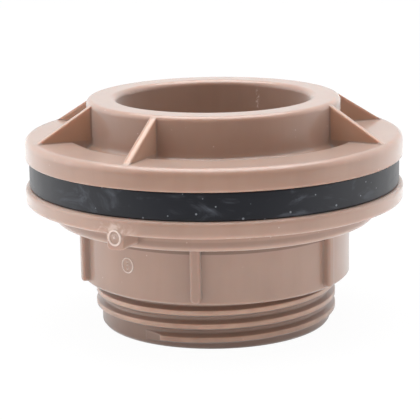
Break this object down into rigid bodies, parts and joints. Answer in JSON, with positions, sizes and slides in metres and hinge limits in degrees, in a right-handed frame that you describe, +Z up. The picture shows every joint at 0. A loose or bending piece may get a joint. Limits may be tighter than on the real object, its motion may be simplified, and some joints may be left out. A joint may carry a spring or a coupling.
{
  "type": "tank connector",
  "caption": "Plastic tank connector: ribbed flange with a plain pipe socket above, a threaded tail below, a black rubber sealing ring and a flanged back nut that screws along the tail.",
  "frame": {"origin": "centre of the tail's end face, on the axis, at the bottom of the part", "axes": "+Z up the axis from the threaded tail to the socket's mouth, -Y towards the viewer, +X to the right"},
  "size_m": [0.0652, 0.0652, 0.0393],
  "materials": {
    "body": "gloss",
    "nut": "gloss",
    "ring": "matt"
  },
  "bodies": {
    "connector": {"connector_body": "body"},
    "ring": {"sealing_ring": "ring"},
    "nut": {"flange_nut": "nut"}
  },
  "joints": [
    {"name": "ring_slide", "type": "slide", "parent": "connector", "child": "ring", "axis": [0, 0, -1], "range_m": [0, 0.0081]},
    {"name": "nut_turn", "type": "hinge", "parent": "ring", "child": "nut", "pos_m": [0, 0, 0.0164], "axis": [0, 0, -1], "range_deg": [0, 1260]}
  ],
  "couplings": [
    {"joint": "ring_slide", "follows": "nut_turn", "m_per_rad": 0.00036749}
  ]
}
